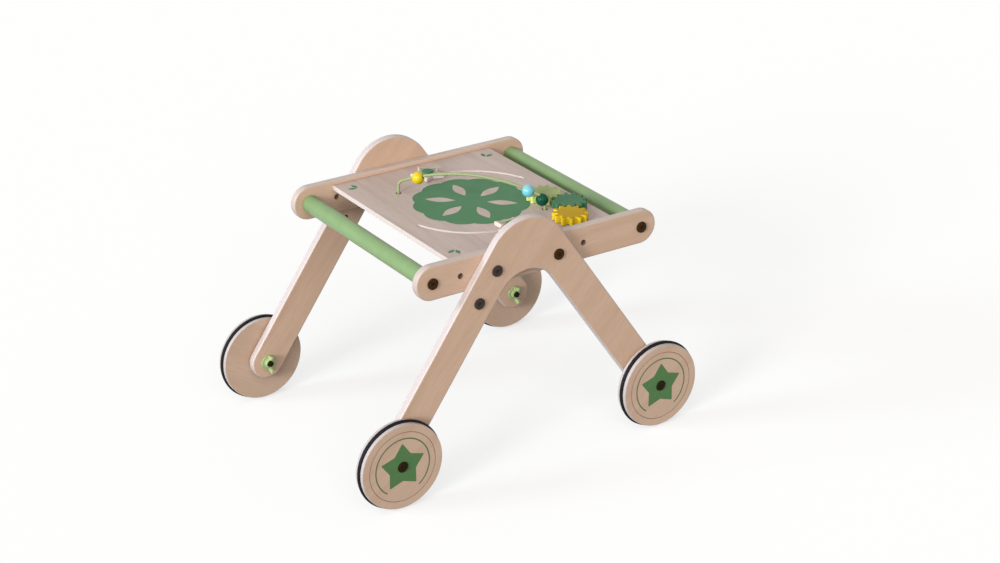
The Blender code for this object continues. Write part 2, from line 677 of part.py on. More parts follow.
def bead_wire():
    curve = bpy.data.curves.new("bead_wire", "CURVE")
    curve.dimensions = "3D"
    curve.bevel_depth = WIRE_DIAMETER / 2
    curve.bevel_resolution = 2
    curve.use_fill_caps = True
    spline = curve.splines.new("POLY")
    path = wire_path()
    spline.points.add(len(path) - 1)
    for point, (along, up) in zip(spline.points, path):
        point.co = (along, 0, up, 1)
    wire = part("bead_wire", mesh_of(link("wire", curve, PARTS)), WIRE_GREEN, 0.4)
    wire.location = BOARD_CENTRE + WIRE_MIDDLE.to_3d()
    wire.rotation_euler.z = math.radians(WIRE_DIRECTION)
    for end, foot in WIRE_FEET.items():
        cap = part("wire_cap_" + end, cap_mesh(WIRE_DIAMETER / 2), NYLON, 0.4)
        cap.location = (*(BOARD_CENTRE.xy + foot), CAP_TOP)


def beads():
    """Beads that hang on the wire: each turns about the centre of the stretch of wire that it is on."""
    arc_centre, bend_centre, rear_lean = wire_centres(WIRE_REAR_BEND)
    front_lean = wire_centres(WIRE_FRONT_BEND)[2]
    yellow_lean = math.degrees(BEAD_YELLOW_BACK / WIRE_ARC_RADIUS) - front_lean
    blue_lean = rear_lean - math.degrees(BEAD_BLUE_BACK / WIRE_ARC_RADIUS)
    seat = BEAD_BORE_RADIUS - WIRE_DIAMETER / 2 - CLEARANCE
    flat = math.degrees(math.asin(BEAD_BORE_RADIUS / BEAD_RADIUS))
    ball = turned_mesh(arc((0, 0), BEAD_RADIUS, 90 - flat, flat - 90, 8), BEAD_SIDES, closed=True)
    stretches = {"yellow": (arc_centre, WIRE_ARC_RADIUS, yellow_lean, YELLOW),
                 "blue": (arc_centre, WIRE_ARC_RADIUS, blue_lean, SKY_BLUE),
                 "green": (bend_centre, WIRE_REAR_BEND, BEAD_GREEN_LEAN, DARK_GREEN)}
    for name, (centre, radius, bead_lean, colour) in stretches.items():
        axis = link("bead_axis_" + name, None, PARTS)
        turn = Matrix.Rotation(math.radians(WIRE_DIRECTION), 4, "Z")
        axis.matrix_world = (Matrix.Translation(BOARD_CENTRE + WIRE_MIDDLE.to_3d()) @ turn
                             @ Matrix.Translation((centre.x, 0, centre.y))
                             @ Matrix.Rotation(math.radians(bead_lean), 4, "Y"))
        bead = part("bead_" + name, ball, colour, 0.2)
        bead.parent = axis
        bead.location.z = radius - seat
        bead.rotation_euler.y = math.pi / 2


GEAR_CENTRES = gear_centres()
WIRE_MIDDLE = wire_middle()
WIRE_FEET = {end: WIRE_MIDDLE + sign * polar(WIRE_SPAN / 2, WIRE_DIRECTION) for end, sign in ENDS.items()}

leg_frames()
side_rails(activity_board())
cross_bars()
wheels()
axle_bolts()
wheel_spacers()
wing_nuts()
leg_bolts()
bar_bolts()
sliders()
gears()
bead_wire()
beads()
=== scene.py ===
"""Looks of the baby push walker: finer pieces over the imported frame, with finishes, light and camera.

Metres, +Z up. +X is the end that is pushed (rear), and the left side is -Y."""

import json
import math

import bmesh
import bpy
from mathutils import Matrix, Vector


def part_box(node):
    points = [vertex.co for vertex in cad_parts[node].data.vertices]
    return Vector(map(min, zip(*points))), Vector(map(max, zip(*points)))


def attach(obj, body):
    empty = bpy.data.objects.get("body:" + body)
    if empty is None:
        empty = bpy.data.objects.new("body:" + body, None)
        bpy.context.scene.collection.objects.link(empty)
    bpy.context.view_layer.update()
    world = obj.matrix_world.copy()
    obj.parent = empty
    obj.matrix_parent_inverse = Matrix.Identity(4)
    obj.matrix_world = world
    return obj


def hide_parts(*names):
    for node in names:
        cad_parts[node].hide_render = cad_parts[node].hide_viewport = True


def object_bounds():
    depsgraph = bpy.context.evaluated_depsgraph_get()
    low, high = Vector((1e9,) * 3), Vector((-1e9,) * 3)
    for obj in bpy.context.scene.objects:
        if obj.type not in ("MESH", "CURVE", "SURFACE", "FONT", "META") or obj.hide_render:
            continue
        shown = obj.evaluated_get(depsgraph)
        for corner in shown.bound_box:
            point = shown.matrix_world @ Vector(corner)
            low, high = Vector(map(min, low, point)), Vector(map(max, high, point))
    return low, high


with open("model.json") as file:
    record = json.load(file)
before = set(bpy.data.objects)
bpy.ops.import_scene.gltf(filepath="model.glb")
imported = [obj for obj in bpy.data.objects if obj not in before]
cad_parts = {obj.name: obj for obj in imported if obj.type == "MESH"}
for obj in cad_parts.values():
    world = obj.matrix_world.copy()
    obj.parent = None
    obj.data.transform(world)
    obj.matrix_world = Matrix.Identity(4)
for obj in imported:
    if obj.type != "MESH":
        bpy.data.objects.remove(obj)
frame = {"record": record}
CAD_LOW, CAD_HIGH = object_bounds()

QUARTER = math.pi / 2
SIDES = {"left": -1, "right": 1}
ENDS = ("front", "rear")
CORNERS = [(f"{end}_{name}", side) for end in ENDS for name, side in SIDES.items()]
BODY_OF = {node: body for body, nodes in frame["record"]["behaviour"]["bodies"].items() for node in nodes}

# Wheels and axles
WHEEL_EDGE = 0.0010
WHEEL_HUB_FACE = 0.012
TYRE_CORD = 0.007
TYRE_SINK = 0.0005
AXLE_RADIUS = 0.004
AXLE_HEAD_RADIUS = 0.008
AXLE_HEAD_HEIGHT = 0.003
AXLE_HEAD_LAND = 0.0004
AXLE_HEAD_ROUND = 0.0003
SPACER_EDGE = 0.0004
LINE_RADIUS = 0.0512
LINE_WIDTH = 0.0011
LINE_DEPTH = 0.0003

# Printed figures on the wheels
INK = 0.0001
STAR_TIP = 0.0353
STAR_NOTCH = 0.0214
STAR_TIP_ROUND = 0.0013
STAR_NOTCH_ROUND = 0.0020
STAR_HEAD_LAP = 0.001
RING_RADIUS = 0.0418
RING_WIDTH = 0.0018
RING_GAP = 72

# Wing nuts
NUT_FLANGE_RADIUS = 0.012
NUT_FLANGE_THICKNESS = 0.0025
NUT_HUB_RADIUS = 0.0072
NUT_HUB_HEIGHT = 0.007
NUT_COUNTERSINK = 0.0012
NUT_ROUND = 0.0009
WING_SPAN = 0.027
WING_HEIGHT = 0.0138
WING_THICKNESS = 0.0045
WING_TIP_WIDTH = 0.0048
WING_TIP_ROUND = 0.0019
WING_SHOULDER_SHARE = 0.7
WING_SHOULDER_ROUND = 0.0038
WING_VALLEY = 0.011
WING_EDGE = 0.0012

# Leg frames, rails and bars
LEG_WIDTH = 0.050
LEG_EDGE = 0.0022
APEX_RADIUS = 0.0655
FORK_RADIUS = 0.051
RAIL_EDGE = 0.0022
BAR_EDGE = 0.0012
BAR_BORE_DEPTH = 0.026
SPARE_HOLE_SPACING = 0.200

# Bolts, sleeve nuts and caps
BOLT_RADIUS = 0.003
BOLT_HEAD_RADIUS = 0.008
BOLT_HEAD_HEIGHT = 0.0025
BOLT_TIP = 0.0006
SOCKET_RADIUS = 0.0027
SOCKET_DEPTH = 0.0016
SOCKET_OVERCUT = 0.001
SLEEVE_RADIUS = 0.004
SLEEVE_HEAD_RADIUS = 0.0075
SLEEVE_HEAD_HEIGHT = 0.002
CAP_FLOOR = 0.0015
CAP_WALL = 0.003
CAP_EDGE = 0.0006
FIT = 0.0003
DRILL_LENGTH = 0.1

# Activity board, sliders, gears, wire and beads
BOARD_EDGE = 0.0005
BOARD_CORNER = 0.0005
SLOT_RADIUS = 0.112
SLOT_WIDTH = 0.006
SLOT_START = 17
SLOT_SWEEP = 80
SLIDER_TIP = 0.027
SLIDER_NOTCH = 0.014
SLIDER_TIP_ROUND = 0.0014
SLIDER_NOTCH_ROUND = 0.002
SLIDER_EDGE = 0.0011
SLIDER_INSET = 0.78
SLIDER_STEM = 0.0027
SLIDER_KNOB_HEIGHT = 0.002
SLIDER_KNOB_RADIUS = 0.008
SLIDER_KNOB_EDGE = 0.0008
STEM_CHAMFER = 0.0004
GEAR_TEETH = 12
GEAR_PITCH_RADIUS = 0.0225
GEAR_TOOTH_HEIGHT = 0.007
GEAR_MESH_GAP = 0.0006
GEAR_SQUARENESS = 1.2
GEAR_THICKNESS = 0.011
GEAR_EDGE = 0.0007
GEAR_STUB_RADIUS = 0.005
MIDDLE_GEAR_PHASE = 8
WIRE_DIAMETER = 0.004
WIRE_HOLE_GAP = 0.0022
WIRE_RISE = 0.0395
WIRE_ARC_RADIUS = 0.270
WIRE_BENDS = {"front": 0.010, "rear": 0.018}
BEAD_RADIUS = 0.009
BEAD_BORE_RADIUS = 0.00375
BEAD_MOUTH_MARGIN = 5
BEAD_LIP_WIDTH = 0.0003
BEAD_LIP_DROP = 0.0001
BEAD_LIP_DEPTH = 0.0006

# Print on the board: leaves as their start, end and half width
ROSETTE_RADIUS = 0.079
ROSETTE_SCALLOP = 0.005
ROSETTE_SCALLOPS = 12
ROSETTE_STEPS = 240
ROSETTE_LEAVES = 6
ROSETTE_LEAF = (0.022, 0.066, 0.008)
ROSETTE_TURN = 20
SPRIG_LEAF = (0.002, 0.016, 0.0032)
SPRIG_ANGLES = (60, 120)
SPRIG_PLACES = ((-0.108, -0.128), (-0.108, 0.128), (0.108, 0.128))

# Lacquer and wood: sizes of the grain along the fibres and across them, and shares of its tones
COAT_ROUGHNESS = 0.2
FIGURE = (0.34, 0.026, 0.026)
FIBRES = (0.06, 0.0011, 0.0011)
FLECKS = (0.022, 0.0015, 0.0015)
FIBRE_SWING = 0.16
FLECK_COVER = 0.45
FLECK_SHADE = 0.90
PLY_LAYER = 0.0026
LAYER_SHADE = 0.86


# Outlines, as lists of (x, y) points

def arc(centre, radius, start, end, steps):
    """Points along an arc, with its angles in degrees."""
    angles = [math.radians(start + (end - start) * i / steps) for i in range(steps + 1)]
    return [(centre[0] + radius * math.cos(a), centre[1] + radius * math.sin(a)) for a in angles]


def circle(centre, radius, steps=48):
    return arc(centre, radius, 0, 360, steps)[:-1]


def polar(radius, degrees):
    return Vector((radius * math.cos(math.radians(degrees)), radius * math.sin(math.radians(degrees))))


def rounded(corners, radii, steps=6):
    """A polygon with each corner replaced by an arc that is tangent to both of its sides."""
    points = []
    for i, radius in enumerate(radii):
        corner = Vector(corners[i])
        back = (Vector(corners[i - 1]) - corner).normalized()
        ahead = (Vector(corners[(i + 1) % len(corners)]) - corner).normalized()
        half = back.angle(ahead) / 2
        centre = corner + (back + ahead).normalized() * radius / math.sin(half)
        reach = radius / math.tan(half)
        start, end = (math.degrees(math.atan2(v.y, v.x))
                      for v in (corner + side * reach - centre for side in (back, ahead)))
        turn = (end - start + 180) % 360 - 180
        points += arc(centre, radius, start, start + turn, steps)
    return points


def star_outline(tip, notch, tip_round, notch_round, start=0):
    """A five-pointed star with rounded tips and notches, its first tip at an angle."""
    corners = [polar(notch if i % 2 else tip, start + 36 * i) for i in range(10)]
    return rounded(corners, [tip_round, notch_round] * 5)


def ring_strip(radius, width, gap):
    """A flat ring that is open at the bottom over an angle."""
    start, end = gap / 2 - 90, 270 - gap / 2
    outline = arc((0, 0), radius + width / 2, start, end, 96)
    return outline + arc((0, 0), radius - width / 2, end, start, 96)


def soft_profile(points, radii, steps=4):
    """An open profile with its inner corners rounded; the two end points stay."""
    closed = rounded(points, radii, steps)
    return [points[0]] + closed[steps + 1:-steps - 1] + [points[-1]]


# Meshes

def link(name, data):
    thing = bpy.data.objects.new(name, data)
    bpy.context.scene.collection.objects.link(thing)
    return thing


def welded(shape, sharp=40):
    """A mesh from a bmesh, welded, facing outwards and smooth up to an angle."""
    bmesh.ops.remove_doubles(shape, verts=shape.verts, dist=1e-7)
    bmesh.ops.recalc_face_normals(shape, faces=shape.faces)
    mesh = bpy.data.meshes.new("shape")
    shape.to_mesh(mesh)
    shape.free()
    mesh.shade_smooth()
    mesh.set_sharp_from_angle(angle=math.radians(sharp))
    return mesh


def evaluated(thing):
    """The welded mesh of a working object, which is then removed."""
    ready = thing.evaluated_get(bpy.context.evaluated_depsgraph_get())
    shape = bmesh.new()
    shape.from_mesh(bpy.data.meshes.new_from_object(ready))
    bpy.data.objects.remove(thing)
    return welded(shape)


def plate(outline, thickness, edge, cutouts=()):
    """An outline in local XY with cut-outs, extruded evenly to both sides and rounded along every edge."""
    curve = bpy.data.curves.new("outline", "CURVE")
    curve.dimensions = "2D"
    curve.fill_mode = "BOTH"
    curve.extrude = thickness / 2 - edge
    curve.bevel_depth = edge
    curve.bevel_resolution = 3
    curve.offset = -edge
    for points in (outline, *cutouts):
        spline = curve.splines.new("POLY")
        spline.points.add(len(points) - 1)
        for point, (x, y) in zip(spline.points, points):
            point.co = (x, y, 0, 1)
        spline.use_cyclic_u = True
    return evaluated(link("outline", curve))


def printed(outline, cutouts=()):
    """A thin film of ink, half of it in the face that it lies on."""
    return plate(outline, 2 * INK, INK / 4, cutouts)


def turned(profile, sides=64, ring=False):
    """A profile of (radius, height) points turned round the local Z axis."""
    shape = bmesh.new()
    turns = [2 * math.pi * i / sides for i in range(sides)]
    rows = [[shape.verts.new((radius * math.cos(a), radius * math.sin(a), height)) for a in turns]
            for radius, height in profile]
    pairs = list(zip(rows, rows[1:]))
    if ring:
        pairs.append((rows[-1], rows[0]))
    for low, high in pairs:
        for i in range(sides):
            shape.faces.new((low[i - 1], low[i], high[i], high[i - 1]))
    return welded(shape)


def tube(path, radius):
    """A round wire along a path, closed at both ends."""
    curve = bpy.data.curves.new("tube", "CURVE")
    curve.dimensions = "3D"
    curve.bevel_depth = radius
    curve.bevel_resolution = 6
    curve.use_fill_caps = True
    spline = curve.splines.new("POLY")
    spline.points.add(len(path) - 1)
    for point, place in zip(spline.points, path):
        point.co = (*place, 1)
    return evaluated(link("tube", curve))


def combined(mesh, tool, operation="DIFFERENCE"):
    """One mesh cut by or joined with another, each face keeping the number of its finish."""
    for part in (mesh, tool):
        part.materials.append(None)
        part.materials.append(None)
    thing = link("body", mesh)
    other = link("tool", tool)
    boolean = thing.modifiers.new("combine", "BOOLEAN")
    boolean.operation = operation
    boolean.object = other
    result = evaluated(thing)
    bpy.data.objects.remove(other)
    return result


def drilled(mesh, holes):
    """A plate with round holes through it, as (centre, radius), whose walls take the second finish, which
    here is the painted shade in the holes.
    """
    drill = bmesh.new()
    for centre, radius in holes:
        bmesh.ops.create_cone(drill, cap_ends=True, segments=40, radius1=radius, radius2=radius,
                              depth=DRILL_LENGTH, matrix=Matrix.Translation((*centre, 0)))
    for face in drill.faces:
        face.material_index = 1
    return combined(mesh, welded(drill))


# Places

def middle(node):
    low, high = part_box(node)
    return (low + high) / 2


def far_side(node, axis, sign):
    """The coordinate of a node's box on one side along an axis."""
    low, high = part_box(node)
    return (high if sign > 0 else low)[axis]


def outwards(side):
    """The turn that points a local +Z out from the walker on one side."""
    return Matrix.Rotation(-side * QUARTER, 4, "X")


UPRIGHT = Matrix.Rotation(QUARTER, 4, "X")


def piece(name, mesh, finish, body, place, node=None, flat_faces=True, walls=None):
    """A finished piece in place: it rides on a body and may stand for a CAD node."""
    finishes = [finish, walls] if walls else [finish]
    while len(mesh.materials) < len(finishes):
        mesh.materials.append(None)
    thing = link(name, mesh)
    for slot, material in zip(thing.material_slots, finishes):
        slot.link = "OBJECT"
        slot.material = material
    if flat_faces:
        thing.modifiers.new("normals", "WEIGHTED_NORMAL").keep_sharp = True
    thing.matrix_world = place
    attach(thing, body)
    if node:
        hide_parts(node)


def stand_in(node, mesh, finish, place, flat_faces=True, walls=None):
    """A piece that takes the place of a CAD node, on the node's own body."""
    piece(node + "_fine", mesh, finish, BODY_OF[node], place, node, flat_faces, walls)


# Finishes

def toned(colour, share):
    return tuple(share * c for c in colour)


class Finish:
    """One material: each call of add makes a node and gives back one of its outputs."""

    def __init__(self, slot, roughness, coat=0.0, gloss=0.5):
        self.material = bpy.data.materials.new(slot + "_finish")
        self.material["slot"] = slot
        self.material.use_nodes = True
        self.tree = self.material.node_tree
        self.surface = self.tree.nodes["Principled BSDF"]
        self.surface.inputs["Roughness"].default_value = roughness
        self.surface.inputs["Specular IOR Level"].default_value = gloss
        self.surface.inputs["Coat Weight"].default_value = coat
        self.surface.inputs["Coat Roughness"].default_value = COAT_ROUGHNESS
        self.coordinates = self.tree.nodes.new("ShaderNodeTexCoord")

    def put(self, socket, value):
        if isinstance(value, bpy.types.NodeSocket):
            self.tree.links.new(value, socket)
        else:
            socket.default_value = value

    def add(self, kind, inputs, output=0, **settings):
        node = self.tree.nodes.new("ShaderNode" + kind)
        for setting, value in settings.items():
            setattr(node, setting, value)
        for socket, value in inputs.items():
            self.put(node.inputs[socket], value)
        return node.outputs[output]

    def noise(self, stretch, detail=2.0, distortion=0.0, turn=0.0, shift=0.0):
        """Noise over object coordinates in metres, stretched per axis."""
        place = self.add("Mapping", {"Vector": self.coordinates.outputs["Object"],
                                     "Location": (shift, shift, shift), "Rotation": (0, 0, turn),
                                     "Scale": stretch}, vector_type="TEXTURE")
        return self.add("TexNoise", {"Vector": place, "Scale": 1.0, "Detail": detail,
                                     "Distortion": distortion})

    def ramp(self, value, stops):
        """Colours or levels along a value, as (position, level) stops."""
        node = self.tree.nodes.new("ShaderNodeValToRGB")
        elements = node.color_ramp.elements
        while len(elements) < len(stops):
            elements.new(1.0)
        for element, (position, level) in zip(elements, stops):
            element.position = position
            element.color = (*level, 1) if isinstance(level, tuple) else (level, level, level, 1)
        self.put(node.inputs["Fac"], value)
        return node.outputs["Color"]

    def level(self, value, low, high):
        """A 0 to 1 value brought between two levels."""
        return self.add("MapRange", {"Value": value, "To Min": low, "To Max": high})

    def side(self, full=0.35, none=0.75):
        """1 on the faces round a local Z axis, 0 on those across it, by how far they face along it."""
        along = self.add("SeparateXYZ", {0: self.coordinates.outputs["Normal"]}, output=2)
        facing = self.add("Math", {0: along}, operation="ABSOLUTE")
        return self.ramp(facing, [(full, 1.0), (none, 0.0)])

    def mix(self, factor, first, second):
        """The first colour at a factor of 0, the second at 1."""
        return self.add("Mix", {0: factor, 6: first, 7: second}, output=2, data_type="RGBA")

    def colour(self, value):
        self.put(self.surface.inputs["Base Color"], value)

    def roughness(self, value):
        self.put(self.surface.inputs["Roughness"], value)

    def bump(self, height, distance, strength=1.0):
        normal = self.add("Bump", {"Height": height, "Distance": distance, "Strength": strength})
        self.put(self.surface.inputs["Normal"], normal)


def wood(name, tones, edge, turn=0.0, streak=1.0, shift=0.0):
    """Lacquered plywood: soft figure and fine fibres along local X or turned from it, and layered edges in
    their own edge tone, which carries painted light and shade.
    """
    finish = Finish(name, 0.5, coat=0.1)
    figure = finish.noise(FIGURE, 4.0, distortion=0.7, turn=turn, shift=shift)
    fibres = finish.noise(FIBRES, 3.0, distortion=0.2, turn=turn, shift=shift)
    flecks = finish.noise(FLECKS, turn=turn, shift=shift)
    swing = FIBRE_SWING * streak
    grain = finish.add("Math", {0: figure, 1: finish.level(fibres, -swing, swing)}, operation="ADD")
    dark, plain, pale = tones
    colour = finish.ramp(grain, [(0.30, dark), (0.50, plain), (0.72, pale)])
    cover = finish.ramp(flecks, [(0.50, 0.0), (0.68, FLECK_COVER)])
    colour = finish.mix(cover, colour, (*toned(dark, FLECK_SHADE), 1))
    height = finish.add("SeparateXYZ", {0: finish.coordinates.outputs["Object"]}, output=2)
    layer = finish.add("Math", {0: height, 1: 2 * math.pi / PLY_LAYER}, operation="MULTIPLY")
    wave = finish.add("Math", {0: layer}, operation="SINE")
    edge_layers_and_light = finish.ramp(wave, [(0.0, edge), (0.5, edge), (1.0, toned(edge, LAYER_SHADE))])
    # Painted light: the edge faces take the edge tone, the plies' paler end grain made paler, cooler or
    # browner for how the light falls on them.
    finish.colour(finish.mix(finish.side(full=0.80, none=0.97), colour, edge_layers_and_light))
    finish.roughness(finish.level(fibres, 0.42, 0.62))
    finish.bump(fibres, 0.00006, 0.5)
    return finish.material


def paint(name, colour, roughness, coat=0.0, gloss=0.3, lit_flank=None, grain=None):
    """Slightly uneven paint, with a lighter colour round the flanks as painted light from the side, and
    wood grain under it if asked.
    """
    finish = Finish(name, roughness, coat=coat, gloss=gloss)
    patches = finish.noise((0.02, 0.02, 0.02), 3.0)
    dust = finish.noise((0.0012, 0.0012, 0.0012))

    def uneven(tone):
        return finish.ramp(patches, [(0.3, toned(tone, 0.95)), (0.7, toned(tone, 1.04))])

    # Painted light: the flank colour is lighter than the top for the light that falls on the flanks from
    # the side.
    if lit_flank:
        finish.colour(finish.mix(finish.side(), uneven(colour), uneven(lit_flank)))
    else:
        finish.colour(uneven(colour))
    finish.roughness(finish.level(dust, 0.8 * roughness, 1.25 * roughness))
    if grain:
        finish.bump(finish.noise(grain, 3.0), 0.00008, 0.5)
    else:
        finish.bump(patches, 0.0001, 0.35)
    return finish.material


def rubber():
    """Black rubber, a little dusty."""
    finish = Finish("tyre_rubber", 0.6, gloss=0.1)
    dust = finish.noise((0.004, 0.004, 0.004), 5.0)
    pits = finish.noise((0.0007, 0.0007, 0.0007))
    finish.colour(finish.ramp(dust, [(0.35, (0.007, 0.006, 0.008)), (0.75, (0.016, 0.014, 0.017))]))
    finish.roughness(finish.level(dust, 0.48, 0.72))
    finish.bump(pits, 0.00008, 0.4)
    return finish.material


def steel(name, dark, worn, roughness):
    """Blackened steel with a little wear."""
    finish = Finish(name, roughness, gloss=0.05)
    wear = finish.noise((0.003, 0.003, 0.003), 5.0)
    scratches = finish.noise((0.0005, 0.004, 0.0005))
    finish.colour(finish.ramp(wear, [(0.40, dark), (0.75, worn)]))
    finish.roughness(finish.level(scratches, 0.8 * roughness, 1.2 * roughness))
    finish.bump(scratches, 0.00003, 0.3)
    return finish.material


def nylon(name, colour):
    """Moulded plastic with a fine skin."""
    finish = Finish(name, 0.4)
    flow = finish.noise((0.006, 0.006, 0.012), 3.0)
    skin = finish.noise((0.0006, 0.0006, 0.0006))
    finish.colour(finish.ramp(flow, [(0.3, toned(colour, 0.9)), (0.7, colour)]))
    finish.roughness(finish.level(skin, 0.32, 0.5))
    finish.bump(skin, 0.00004, 0.3)
    return finish.material


FRONT_AXLE = middle("wheel_front_left")
LEG_SLOPE = math.atan2(middle("cross_bar_front").z - FRONT_AXLE.z, -FRONT_AXLE.x)
PLY_TONES = ((0.563, 0.378, 0.270), (0.606, 0.416, 0.304), (0.635, 0.444, 0.331))
# Edge tones: the plies' paler end grain with painted light in it. The wheel, leg, board and slider edges
# are paler and cooler for the strong light from the left; the rail edges are browner for painted shade
# along their tops, with a cool tint for the light on their ends.
WHEEL_EDGE_TONE_LIT = (0.45, 0.400, 0.395)
LEG_EDGE_TONE_LIT = (0.515, 0.447, 0.437)
RAIL_EDGE_TONE_LIT_AND_SHADED = (0.480, 0.398, 0.360)
WHEEL_TONES = ((0.53, 0.362, 0.265), (0.560, 0.400, 0.296), (0.585, 0.428, 0.328))
# The board's tones are a greyer wood with painted shade in them: darker than the plywood for the weaker
# light that falls on top faces.
BOARD_TONES_SHADED = ((0.385, 0.300, 0.262), (0.445, 0.350, 0.310), (0.49, 0.392, 0.352))
BOARD_EDGE_TONE_LIT = (0.60, 0.52, 0.495)
plywood = wood("plywood", PLY_TONES, RAIL_EDGE_TONE_LIT_AND_SHADED)
leg_plywood = wood("plywood", PLY_TONES, LEG_EDGE_TONE_LIT, turn=LEG_SLOPE, shift=3.1)
wheel_plywood = wood("wheel_plywood", WHEEL_TONES, WHEEL_EDGE_TONE_LIT, turn=0.6, shift=7.3)
board_plywood = wood("board_plywood", BOARD_TONES_SHADED, BOARD_EDGE_TONE_LIT, turn=QUARTER, streak=1.6)
slider_wood = wood("slider_wood", PLY_TONES, BOARD_EDGE_TONE_LIT, turn=0.3, shift=1.7)
# Painted shade: a dark finish on the walls of drilled holes, for the shade inside them.
hole_wall_shade = paint("plywood", (0.27, 0.175, 0.125), 0.7, gloss=0.1)
bar_paint = paint("green_painted_wood", (0.164, 0.264, 0.105), 0.40, coat=0.05, gloss=0.6,
                  grain=(0.0015, 0.0015, 0.05))
dark_green_paint = paint("dark_green_paint", (0.002, 0.060, 0.031), 0.18, gloss=0.12)
gear_dark_paint = paint("dark_green_paint", (0.052, 0.150, 0.074), 0.45, gloss=0.1)
# Painted light: the yellow and light green gears take lighter flank colours for the light from the left.
yellow_paint = paint("yellow_paint", (0.44, 0.270, 0.004), 0.45, gloss=0.08, lit_flank=(0.65, 0.465, 0.017))
bead_yellow_paint = paint("yellow_paint", (0.59, 0.450, 0.003), 0.2, coat=0.05)
blue_paint = paint("blue_paint", (0.145, 0.46, 0.545), 0.2, coat=0.1)
light_green_paint = paint("light_green_paint", (0.30, 0.36, 0.145), 0.45, gloss=0.1,
                          lit_flank=(0.55, 0.64, 0.20))
wire_coat = paint("coated_wire", (0.25, 0.308, 0.145), 0.35, gloss=0.2)
star_ink = paint("wheel_plywood", (0.085, 0.19, 0.070), 0.5, gloss=0.2)
ring_ink = paint("wheel_plywood", (0.090, 0.152, 0.068), 0.5, gloss=0.2)
line_burn = paint("wheel_plywood", (0.30, 0.19, 0.13), 0.6, gloss=0.2)
print_ink = paint("board_plywood", (0.064, 0.178, 0.083), 0.5, gloss=0.15)
slider_ink = paint("slider_wood", (0.26, 0.31, 0.22), 0.5, gloss=0.2)
tyre_rubber = rubber()
black_steel = steel("black_steel", (0.036, 0.017, 0.005), (0.054, 0.027, 0.010), 0.5)
axle_steel = steel("black_steel", (0.012, 0.008, 0.002), (0.022, 0.015, 0.004), 0.5)
grey_steel = steel("grey_steel", (0.045, 0.033, 0.030), (0.075, 0.055, 0.050), 0.5)
green_nylon = nylon("green_nylon", (0.36, 0.45, 0.21))
white_nylon = nylon("white_nylon", (0.74, 0.73, 0.69))


# Wheels

def wheels():
    low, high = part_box("wheel_front_left")
    half = (high.y - low.y) / 2
    radius = (high.z - low.z) / 2
    groove = TYRE_CORD / 2 + FIT
    tyre_radius = far_side("tyre_front_left", 2, 1) - middle("wheel_front_left").z
    groove_radius = tyre_radius - TYRE_CORD + TYRE_SINK
    bore = AXLE_RADIUS + FIT
    edge = arc((radius - WHEEL_EDGE, half - WHEEL_EDGE), WHEEL_EDGE, 90, 0, 6)
    line = [(LINE_RADIUS - LINE_WIDTH / 2, half), (LINE_RADIUS, half - LINE_DEPTH),
            (LINE_RADIUS + LINE_WIDTH / 2, half)]
    rim = edge + [(radius, groove), (groove_radius, groove)]
    face = [(bore, half), (bore + WHEEL_HUB_FACE, half)] + line + rim
    back = [(r, -z) for r, z in reversed(rim)] + [(bore, -half)]
    disc = turned(face + back, 128, ring=True)
    cord_radius = tyre_radius - TYRE_CORD / 2
    cord = turned(circle((cord_radius, 0), TYRE_CORD / 2, 20), 128, ring=True)
    star_mesh = printed(star_outline(STAR_TIP, STAR_NOTCH, STAR_TIP_ROUND, STAR_NOTCH_ROUND, 90),
                        [circle((0, 0), AXLE_HEAD_RADIUS - STAR_HEAD_LAP)])
    ring_mesh = printed(ring_strip(RING_RADIUS, RING_WIDTH, RING_GAP))
    burn = [(LINE_RADIUS - LINE_WIDTH / 2, INK / 2), (LINE_RADIUS, INK / 2 - LINE_DEPTH),
            (LINE_RADIUS + LINE_WIDTH / 2, INK / 2), (LINE_RADIUS, -LINE_DEPTH)]
    line_mesh = turned(burn, 128, ring=True)
    for corner, side in CORNERS:
        node = "wheel_" + corner
        star_up = Matrix.Rotation((1 + side) * QUARTER, 4, "Z")
        place = Matrix.Translation(middle(node)) @ outwards(side) @ star_up
        stand_in(node, disc, wheel_plywood, place)
        stand_in("tyre_" + corner, cord, tyre_rubber, place, flat_faces=False)
        on_face = place @ Matrix.Translation((0, 0, half))
        piece("star_print_" + corner, star_mesh, star_ink, node, on_face)
        piece("ring_print_" + corner, ring_mesh, ring_ink, node, on_face)
        piece("burnt_line_" + corner, line_mesh, line_burn, node, on_face)


